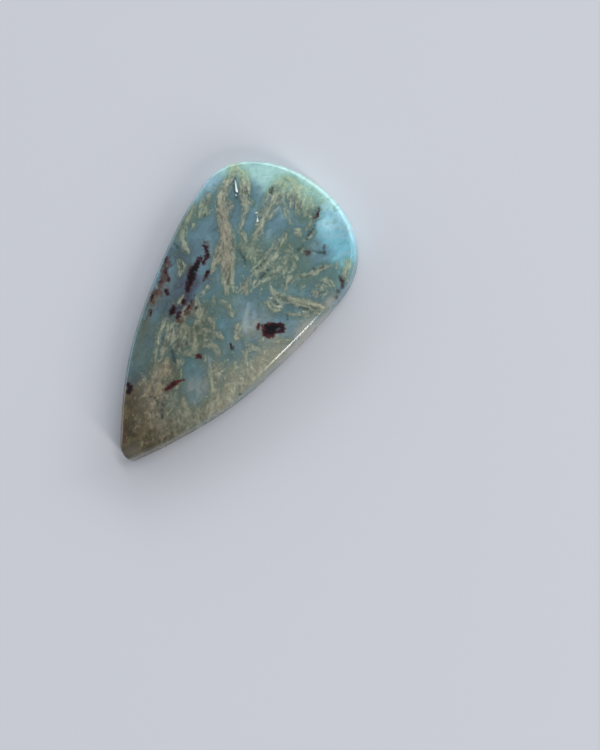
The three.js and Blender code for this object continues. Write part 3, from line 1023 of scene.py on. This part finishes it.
        # The wisps, and one painted highlight: the gleam on the hematite oval
        wisp_and_gleam = self.cover(sheet, Marking.WISP_AND_GLEAM, breakup * 0.8, 0.3)
        rust = self.cover(sheet, Marking.RUST, breakup * 1.6, 0.28)
        colour = sheet.mix(rust * self.rust_share, colour, self.rust)
        red = self.cover(sheet, Marking.RED, breakup, 0.16)
        colour = sheet.mix(red * self.red_share, colour, self.red)
        edge = self.cover(sheet, Marking.HEMATITE, breakup - 0.12, 0.16)
        core = self.cover(sheet, Marking.HEMATITE, breakup * 1.3 + 0.09, 0.18)
        colour = sheet.mix(edge * self.maroon_share, colour, self.maroon)
        colour = sheet.mix(core, colour, self.hematite)
        colour = sheet.mix(wisp_and_gleam * self.wisp_and_gleam_share, colour, self.wisp_and_gleam)
        # Painted highlights: the glints of two small pits, laid on as near-white colour
        glint = self.cover(sheet, Marking.GLINT, fine * 0.15, 0.07)
        return sheet.mix(glint, colour, self.glint), core

    def surface(self, sheet: NodeSheet, through: Wire, colour: Wire, depth: Wire, hard: Wire) -> None:
        """Joins the colour to the polish.

        Args:
            sheet: the material's nodes.
            through: the place in the stone, in millimetres.
            colour: the finished colour.
            depth: how deep the place lies inside the plumes.
            hard: where the hematite is.
        """
        wear = sheet.noise(through, self.wear_scale, 4.0)
        plume = sheet.step(depth, -0.3, 0.5)
        relief = plume + hard * 0.3 + wear * 0.15
        heights = {"Strength": self.relief_strength, "Distance": self.relief_height, "Height": relief}
        bump = sheet.node("ShaderNodeBump", {}, heights, "Normal")
        shader = sheet.node(
            "ShaderNodeBsdfPrincipled",
            {},
            {
                "Base Color": colour,
                "Roughness": self.body_roughness + wear * self.wear_roughness,
                "Normal": bump,
                "Specular IOR Level": self.body_specular,
                "Subsurface Weight": self.subsurface,
                "Subsurface Radius": self.scatter,
                "Subsurface Scale": self.scatter_scale,
                "Coat Weight": 1.0,
                "Coat Roughness": self.polish,
                "Coat IOR": self.refraction,
            },
        )
        sheet.finish(shader)


@dataclass(frozen=True)
class Knot:
    """A knot of the outline: its place, the heading of travel in degrees and its two handles' lengths."""

    x: float
    y: float
    heading: float
    before: float
    after: float

    def along(self, distance: float) -> np.ndarray:
        """Returns the point at a distance from the knot, along its heading."""
        angle = math.radians(self.heading)
        return np.array([self.x + distance * math.cos(angle), self.y + distance * math.sin(angle)])


@dataclass
class Cabochon:
    """The stone: its outline, its section and its dense mesh. Lengths are in millimetres."""

    length: float
    width: float
    bevel: float = 0.4
    girdle_top: float = 2.35
    girdle_lean: float = 0.12
    shoulder_radius: float = 0.55
    rim_height: float = 2.95
    dome_rise: float = 1.4
    egg_half_width: float = 10.3
    egg_taper: float = 0.56
    tip_lean: float = 1.8
    spine_foot: tuple[float, float] = (1.7, -16.8)
    spine_head: tuple[float, float] = (0.0, 9.2)
    bevel_rings: int = 4
    wall_rings: int = 9
    shoulder_rings: int = 17
    knot_steps: int = 400
    edge_steps: int = 720
    face_spacing: float = 0.115
    back_spacing: float = 0.2
    rim_gap: float = 0.55
    map_scale: tuple[float, float] = (0.981, 1.007)
    map_slant: float = 0.244
    map_level: float = 1.25
    sheet_margin: float = 1.12
    sheet_overhang: float = 0.09
    face_middle: tuple[float, float] = (0.26, 0.5)
    back_middle: tuple[float, float] = (0.76, 0.5)
    facing_down: float = -0.02
    knots: list[Knot] = field(default_factory=list)

    def __post_init__(self) -> None:
        """Places the outline's knots."""
        half_length = self.length / 2
        half_width = self.width / 2
        self.knots = [
            Knot(2.0, -half_length, 0.0, 0.6, 0.45),
            Knot(3.0, -19.85, 61.0, 0.75, 3.6),
            Knot(9.55, -3.2, 79.8, 6.6, 4.8),
            Knot(half_width, 11.6, 90.0, 3.8, 5.3),
            Knot(0.1, half_length, 180.0, 7.0, 5.6),
            Knot(-half_width, 12.6, 270.0, 5.3, 5.0),
            Knot(-8.65, -2.5, 285.8, 5.6, 7.2),
            Knot(0.0, -19.75, 305.5, 8.2, 0.9),
        ]

    def outline(self) -> np.ndarray:
        """Works out the outline.

        Returns:
            Its points, evenly spaced along it.
        """
        share = np.linspace(0.0, 1.0, self.knot_steps, endpoint=False)[:, None]
        runs = []
        for knot, after in zip(self.knots, self.knots[1:] + self.knots[:1]):
            start, end = knot.along(0.0), after.along(0.0)
            leave, arrive = knot.along(knot.after), after.along(-after.before)
            rest = 1 - share
            runs.append(
                rest**3 * start + 3 * rest**2 * share * leave + 3 * rest * share**2 * arrive + share**3 * end
            )
        closed = np.vstack([*runs, runs[0][:1]])
        travel = np.concatenate([[0.0], np.cumsum(np.linalg.norm(np.diff(closed, axis=0), axis=1))])
        stops = np.linspace(0.0, travel[-1], self.edge_steps, endpoint=False)
        return np.column_stack([np.interp(stops, travel, closed[:, axis]) for axis in (0, 1)])

    def inset(self, ring: np.ndarray, distance: float) -> np.ndarray:
        """Moves the outline in towards the stone's spine.

        Args:
            ring: the outline's points.
            distance: how far they move.

        Returns:
            The moved points.
        """
        foot, head = np.array(self.spine_foot), np.array(self.spine_head)
        run = head - foot
        share = np.clip((ring - foot) @ run / (run @ run), 0.0, 1.0)
        inwards = foot + share[:, None] * run - ring
        return ring + distance * inwards / np.linalg.norm(inwards, axis=1)[:, None]

    def dome(self, plan: np.ndarray) -> np.ndarray:
        """Works out the height of the low dome.

        Args:
            plan: points of the plan.

        Returns:
            The height over each.
        """
        run = plan[:, 1] / (self.length / 2)
        middle = self.tip_lean * ((1 - run) / 2) ** 3
        half_width = self.egg_half_width * (1 + self.egg_taper * run)
        share = run**2 + ((plan[:, 0] - middle) / half_width) ** 2
        return self.rim_height + self.dome_rise * (1 - share)

    def side(self, outline: np.ndarray) -> list[np.ndarray]:
        """Works out the rings of the bevel, the wall and the shoulder.

        Args:
            outline: the outline's points.

        Returns:
            The rings from the flat back up to the foot of the dome.
        """
        rings = []
        for share in np.linspace(0.0, 1.0, self.bevel_rings):
            rings.append(self.level(self.inset(outline, self.bevel * (1 - share)), self.bevel * share))
        for share in np.linspace(0.0, 1.0, self.wall_rings)[1:-1]:
            height = self.bevel + share * (self.girdle_top - self.bevel)
            rings.append(self.level(self.inset(outline, self.girdle_lean * share), height))
        for turn in np.linspace(0.0, math.pi / 2, self.shoulder_rings):
            plan = self.inset(outline, self.girdle_lean + self.shoulder_radius * (1 - math.cos(turn)))
            height = self.girdle_top + (self.dome(plan) - self.girdle_top) * math.sin(turn)
            rings.append(np.column_stack([plan, height]))
        return rings

    def level(self, plan: np.ndarray, height: float) -> np.ndarray:
        """Returns a ring of the plan raised to one height."""
        return np.column_stack([plan, np.full(len(plan), height)])

    def filled(self, ring: np.ndarray, spacing: float) -> tuple[np.ndarray, list[list[int]]]:
        """Fills a ring of the plan with even triangles.

        Args:
            ring: the ring's points.
            spacing: the distance between the points inside.

        Returns:
            The points that were added inside, and the triangles. They count the ring's points first.
        """
        low, high = ring.min(axis=0), ring.max(axis=0)
        rows = np.arange(low[1], high[1], spacing * math.sqrt(3) / 2)
        columns = np.arange(low[0], high[0], spacing)
        across, up = np.meshgrid(columns, rows)
        across = across + (np.arange(len(rows)) % 2)[:, None] * spacing / 2
        inside = np.column_stack([across.ravel(), up.ravel()])
        inside = inside[self.depth(ring, inside) > spacing * self.rim_gap]
        places = [Vector(point) for point in np.vstack([ring, inside])]
        border = [list(range(len(ring)))]
        made = delaunay_2d_cdt(places, [], border, 1, 1e-7)
        origin = [sources[0] for sources in made[3]]
        return inside, [[origin[corner] for corner in face] for face in made[2]]

    def depth(self, ring: np.ndarray, points: np.ndarray) -> np.ndarray:
        """Works out how deep points lie inside a ring.

        Args:
            ring: the ring's points, counterclockwise.
            points: the points to test.

        Returns:
            The distance to the ring, and less than 0 outside it.
        """
        nearest = np.full(len(points), np.inf)
        crossings = np.zeros(len(points), dtype=int)
        for start, end in zip(ring, np.roll(ring, -1, axis=0)):
            run = end - start
            share = np.clip((points - start) @ run / (run @ run), 0.0, 1.0)
            nearest = np.minimum(nearest, np.linalg.norm(points - start - share[:, None] * run, axis=1))
            above = points[:, 1] >= start[1]
            if start[1] != end[1]:
                crossing = start[0] + (points[:, 1] - start[1]) * run[0] / run[1]
                crossings += (above != (points[:, 1] >= end[1])) & (points[:, 0] < crossing)
        return np.where(crossings % 2 == 1, nearest, -nearest)

    def build(self) -> bpy.types.Object:
        """Builds the stone's mesh.

        Returns:
            The object, with smooth faces and its texture map.
        """
        outline = self.outline()
        rings = self.side(outline)
        count = len(outline)
        face, face_triangles = self.filled(rings[-1][:, :2], self.face_spacing)
        back, back_triangles = self.filled(rings[0][:, :2], self.back_spacing)
        points = np.vstack([*rings, np.column_stack([face, self.dome(face)]), self.level(back, 0.0)])
        top_ring = (len(rings) - 1) * count
        after_rings = len(rings) * count
        faces = []
        for low in range(0, top_ring, count):
            for here in range(count):
                after = (here + 1) % count
                faces.append((low + here, low + after, low + count + after, low + count + here))
        for triangle in face_triangles:
            faces.append([top_ring + i if i < count else after_rings + i - count for i in triangle])
        after_face = after_rings + len(face)
        for triangle in back_triangles:
            corners = [i if i < count else after_face + i - count for i in triangle]
            faces.append(corners[::-1])
        mesh = bpy.data.meshes.new("larimar_stone")
        mesh.from_pydata((points * MM).tolist(), [], faces)
        mesh.validate()
        mesh.shade_smooth()
        self.mark(mesh, points)
        self.unwrap(mesh, points)
        stone = bpy.data.objects.new("larimar_stone", mesh)
        bpy.context.scene.collection.objects.link(stone)
        return stone

    def seen(self, points: np.ndarray) -> np.ndarray:
        """Works out where on the face a marking that runs through the stone shows.

        The markings run down through the stone on one slant, so that they carry on over the shoulder and
        down the side.

        Args:
            points: points of the stone.

        Returns:
            Their places among the markings.
        """
        across = points[:, 0] * self.map_scale[0] - (points[:, 2] - self.map_level) * self.map_slant
        return np.column_stack([across, points[:, 1] * self.map_scale[1]])

    def mark(self, mesh: bpy.types.Mesh, points: np.ndarray) -> None:
        """Writes the markings and ground colours on the mesh as attributes.

        Args:
            mesh: the stone's mesh.
            points: its points.
        """
        seen = self.seen(points)
        for ground in Ground:
            self.write(mesh, ground.value, self.patches(seen, ground))
        for marking in Marking:
            # The pale and ochre strokes are plumes too, with a colour of their own
            kinds = (Marking.PLUME, Marking.PALE, Marking.OCHRE) if marking is Marking.PLUME else (marking,)
            distance, grain = self.strokes(seen, kinds)
            self.write(mesh, marking.value, distance)
            if marking is Marking.PLUME:
                layer = mesh.attributes.new("grain", "FLOAT_VECTOR", "POINT")
                layer.data.foreach_set("vector", grain.ravel())

    def write(self, mesh: bpy.types.Mesh, name: str, values: np.ndarray) -> None:
        """Writes one value for each point of a mesh."""
        mesh.attributes.new(name, "FLOAT", "POINT").data.foreach_set("value", values)

    def patches(self, seen: np.ndarray, kind: Ground) -> np.ndarray:
        """Works out how strongly a ground colour shows.

        Args:
            seen: places among the markings.
            kind: the ground colour.

        Returns:
            0 where it doesn't show to 1 in the middle of its patches.
        """
        strength = np.zeros(len(seen))
        for patch in PATCHES:
            if patch.kind is kind:
                turn = math.radians(patch.turn)
                offset = seen - (patch.x, patch.y)
                across = offset[:, 0] * math.cos(turn) + offset[:, 1] * math.sin(turn)
                along = offset[:, 1] * math.cos(turn) - offset[:, 0] * math.sin(turn)
                spread = (across / patch.across) ** 2 + (along / patch.along) ** 2
                room = 1 - strength if patch.strength > 0 else strength
                strength += room * patch.strength * np.exp(-PATCH_FALLOFF * spread)
        return strength

    def strokes(self, seen: np.ndarray, kinds: Sequence[Marking]) -> tuple[np.ndarray, np.ndarray]:
        """Works out the distance to the nearest stroke of some kinds.

        Args:
            seen: places among the markings.
            kinds: the markings.

        Returns:
            The distance to the stroke's edge, less than 0 inside it, and the place along the stroke, across
            it and its number.
        """
        nearest = np.full(len(seen), FAR_FROM_STROKES)
        grain = np.zeros((len(seen), 3))
        for number, drawn in enumerate(STROKES):
            if drawn.kind not in kinds:
                continue
            dabs = drawn.dabs if len(drawn.dabs) > 1 else drawn.dabs * 2
            travelled = 0.0
            for start, end in zip(dabs, dabs[1:]):
                run = np.subtract(end[:2], start[:2])
                reach = max(float(np.hypot(*run)), 1e-6)
                offset = seen - start[:2]
                along = np.clip(offset @ run / reach, 0.0, reach)
                share = along / reach
                gap = np.linalg.norm(offset - share[:, None] * run, axis=1)
                distance = gap - (start[2] + share * (end[2] - start[2]))
                side = (run[0] * offset[:, 1] - run[1] * offset[:, 0]) / reach
                closer = distance < nearest
                nearest[closer] = distance[closer]
                grain[closer, 0] = travelled + along[closer]
                grain[closer, 1] = side[closer]
                grain[closer, 2] = number * GRAIN_STEP
                travelled += reach
        return nearest, grain

    def unwrap(self, mesh: bpy.types.Mesh, points: np.ndarray) -> None:
        """Lays the face and the back side by side on the texture map, each with its half of the side.

        Args:
            mesh: the stone's mesh.
            points: its points.
        """
        layer = mesh.uv_layers.new(name="OFBake")
        corners = np.empty(len(mesh.loops), dtype=int)
        mesh.loops.foreach_get("vertex_index", corners)
        normals = np.empty(len(mesh.polygons) * 3)
        mesh.polygons.foreach_get("normal", normals)
        totals = np.empty(len(mesh.polygons), dtype=int)
        mesh.polygons.foreach_get("loop_total", totals)
        down = np.repeat(normals.reshape(-1, 3)[:, 2] < self.facing_down, totals)
        plan = points[corners, :2]
        lift = points[corners, 2]
        spread = 1 + self.sheet_overhang * (1 - np.clip(lift / self.rim_height, 0.0, 1.0))
        face = plan * spread[:, None] / (self.length * self.sheet_margin) + self.face_middle
        under = plan * (-1, 1) / (self.length * self.sheet_margin) + self.back_middle
        layer.data.foreach_set("uv", np.where(down[:, None], under, face).ravel())


@dataclass(frozen=True)
class PaleFloor:
    """The plain pale floor."""

    size: float = 3.0
    colour: Colour = srgb(195, 197, 203)
    roughness: float = 0.85
    specular: float = 0.2

    def build(self) -> bpy.types.Object:
        """Builds the floor.

        Returns:
            The floor's object.
        """
        half = self.size / 2
        mesh = bpy.data.meshes.new("floor")
        corners = [(-half, -half, 0.0), (half, -half, 0.0), (half, half, 0.0), (-half, half, 0.0)]
        mesh.from_pydata(corners, [], [(0, 1, 2, 3)])
        floor = bpy.data.objects.new("floor", mesh)
        bpy.context.scene.collection.objects.link(floor)
        material = bpy.data.materials.new("pale_floor")
        sheet = NodeSheet(material)
        shader = sheet.node(
            "ShaderNodeBsdfPrincipled",
            {},
            {"Base Color": self.colour, "Roughness": self.roughness, "Specular IOR Level": self.specular},
        )
        sheet.finish(shader)
        mesh.materials.append(material)
        return floor


@dataclass(frozen=True)
class SoftLight:
    """One soft light: where it stands round the stone, its size and its power, in degrees, metres and watts."""

    name: str
    heading: float
    elevation: float
    distance: float
    width: float
    height: float
    power: float
    colour: tuple[float, float, float] = (1.0, 1.0, 1.0)

    def build(self) -> bpy.types.Object:
        """Builds the light, turned to the stone.

        Returns:
            The light's object.
        """
        data = bpy.data.lights.new(self.name, "AREA")
        data.shape = "RECTANGLE"
        data.size = self.width
        data.size_y = self.height
        data.energy = self.power
        data.color = self.colour
        light = bpy.data.objects.new(self.name, data)
        heading, rise = math.radians(self.heading), math.radians(self.elevation)
        back = Vector(
            (math.cos(heading) * math.cos(rise), math.sin(heading) * math.cos(rise), math.sin(rise))
        )
        light.location = back * self.distance
        light.rotation_mode = "QUATERNION"
        light.rotation_quaternion = (-back).to_track_quat("-Z", "Y")
        light.visible_camera = False
        bpy.context.scene.collection.objects.link(light)
        return light


@dataclass(frozen=True)
class Studio:
    """The plain studio: its floor, soft lights and the faint light from all sides."""

    surround: Colour = srgb(198, 203, 213)
    surround_strength: float = 0.42
    floor: PaleFloor = PaleFloor()
    lights: tuple[SoftLight, ...] = (
        SoftLight("window", 99.0, 18.0, 2.0, 4.0, 0.7, 67.0),
        SoftLight("skylight", 78.0, 60.0, 2.0, 1.6, 0.25, 9.0, (0.95, 0.98, 1.0)),
        SoftLight("lamp", -8.1, 27.0, 1.0, 0.15, 0.6, 5.1, (1.0, 0.98, 0.94)),
        SoftLight("left_wall", 182.0, 8.0, 2.0, 3.0, 1.1, 34.0, (0.94, 0.97, 1.0)),
    )

    def build(self) -> None:
        """Builds the floor, the lights and the world."""
        floor = self.floor.build()
        LOG.info("%s: %.1f m across", floor.name, self.floor.size)
        for light in self.lights:
            LOG.info("%s: %.0f W", light.build().name, light.power)
        world = bpy.data.worlds.new("studio")
        world.use_nodes = True
        background = world.node_tree.nodes["Background"]
        background.inputs["Color"].default_value = self.surround
        background.inputs["Strength"].default_value = self.surround_strength
        bpy.context.scene.world = world
        bpy.context.scene.view_settings.view_transform = "Standard"


@dataclass(frozen=True)
class Viewpoint:
    """The camera, which looks down on the stone. Lengths are in millimetres."""

    lens: float = 85.0
    sensor: float = 36.0
    seen_height: float = 93.24
    middle: tuple[float, float, float] = (12.96, 0.5, 1.0)
    lean: float = 10.0
    turn: float = 37.27
    nearest: float = 10.0
    farthest: float = 10000.0

    def build(self) -> bpy.types.Object:
        """Builds the camera.

        Returns:
            The camera's object.
        """
        data = bpy.data.cameras.new("camera")
        data.lens = self.lens
        data.sensor_width = self.sensor
        data.clip_start = self.nearest * MM
        data.clip_end = self.farthest * MM
        distance = self.seen_height * self.lens / self.sensor
        lean, turn = math.radians(self.lean), math.radians(self.turn)
        back = Vector((math.sin(lean), 0.0, math.cos(lean)))
        up = Vector((-math.sin(turn), math.cos(turn), 0.0))
        right = up.cross(back).normalized()
        up = back.cross(right)
        camera = bpy.data.objects.new("camera", data)
        axes = Matrix((right, up, back)).transposed()
        place = (Vector(self.middle) + back * distance) * MM
        camera.matrix_world = Matrix.Translation(place) @ axes.to_4x4()
        bpy.context.scene.collection.objects.link(camera)
        bpy.context.scene.camera = camera
        return camera


def main() -> None:
    """Builds the stone, its finish, the studio and the camera."""
    logging.basicConfig(level=logging.INFO, format="%(name)s: %(message)s")
    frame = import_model()
    LOG.info("packed frame: %d solid to stand for", len(frame["nodes"]))
    low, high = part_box("larimar")
    size = (high - low) / MM
    stone = Cabochon(length=size.y, width=size.x).build()
    stone.data.materials.append(PolishedLarimar().material())
    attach(stone, "root")
    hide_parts("larimar")
    LOG.info("%s: %d points, %d faces", stone.name, len(stone.data.vertices), len(stone.data.polygons))
    Studio().build()
    camera = Viewpoint().build()
    LOG.info("%s: %.0f mm lens", camera.name, camera.data.lens)


if __name__ == "__main__":
    main()
